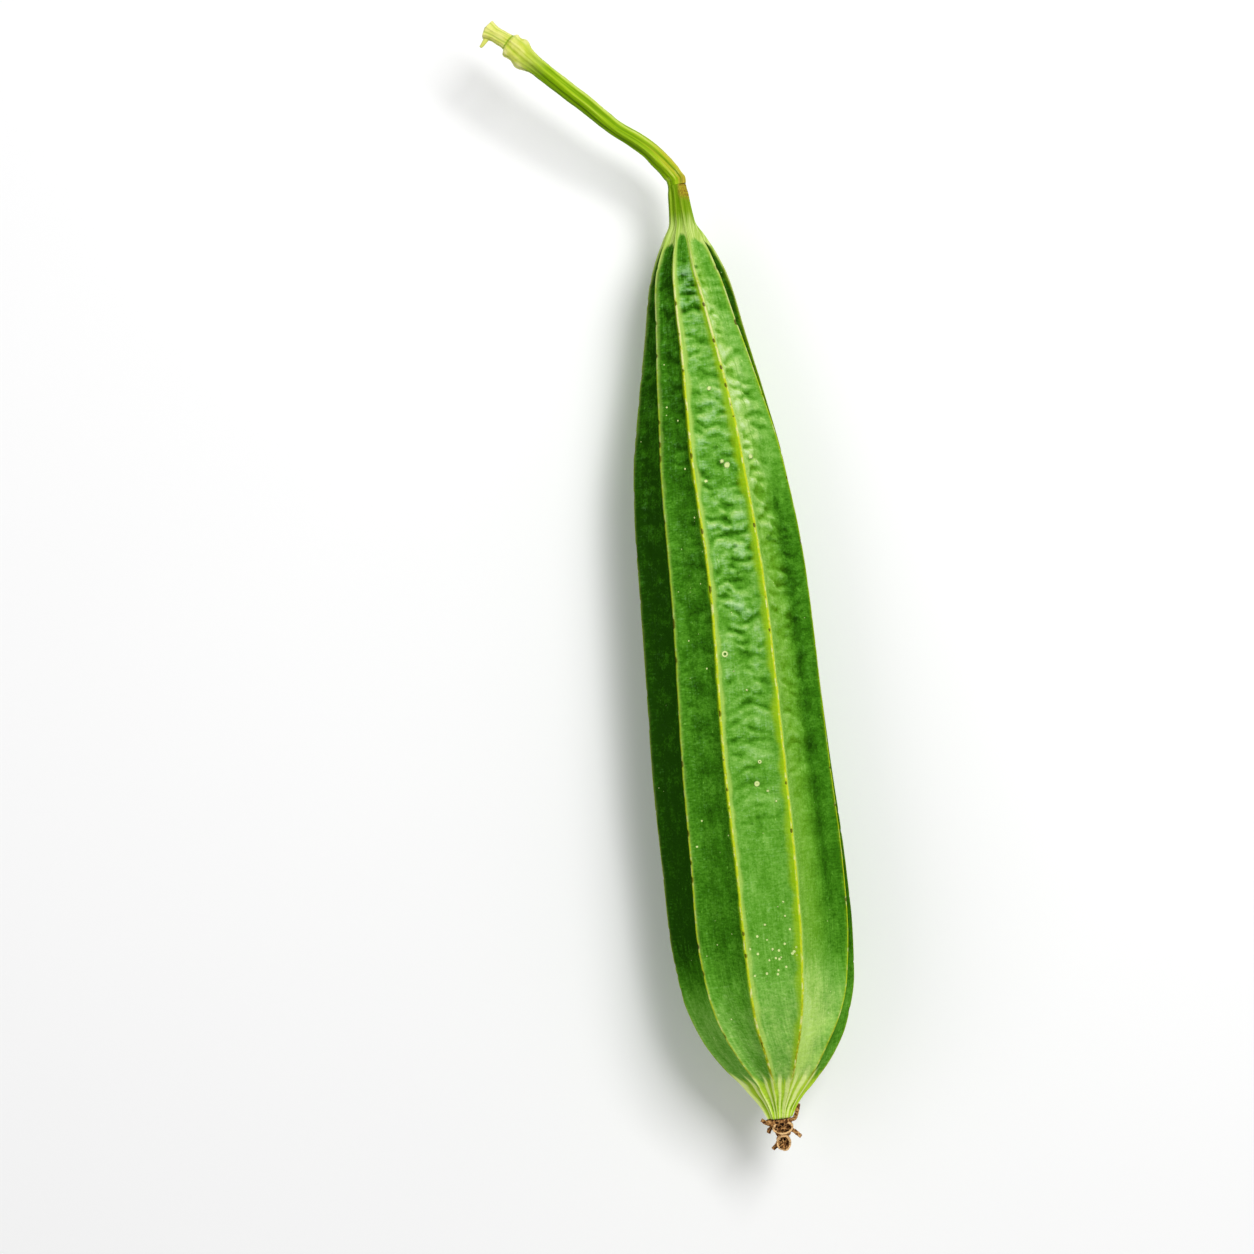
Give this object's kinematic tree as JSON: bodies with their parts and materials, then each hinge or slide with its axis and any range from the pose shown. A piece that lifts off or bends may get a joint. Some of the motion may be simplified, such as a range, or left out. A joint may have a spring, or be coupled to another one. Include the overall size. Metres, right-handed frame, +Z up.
{
  "type": "ridge gourd",
  "caption": "Whole ridge gourd lying on its side: long green ribbed fruit tapering to a neck, with its curved cut stalk and withered blossom.",
  "frame": {"origin": "middle of the bounding box's underside, on the surface the gourd lies on", "axes": "+Y along the fruit towards the stalk, +Z up from the surface, +X to the side away from the stalk's bend"},
  "size_m": [0.0888, 0.368, 0.0577],
  "materials": {
    "skin": "waxy green skin with yellow-green ridge crests",
    "stalk": "satin yellow-green ribbed stem, pale at the cut end",
    "withered_blossom": "dry brown shrivelled petals"
  },
  "bodies": {
    "root": {"fruit": "skin", "stalk": "stalk", "withered_blossom": "withered_blossom"}
  },
  "joints": []
}
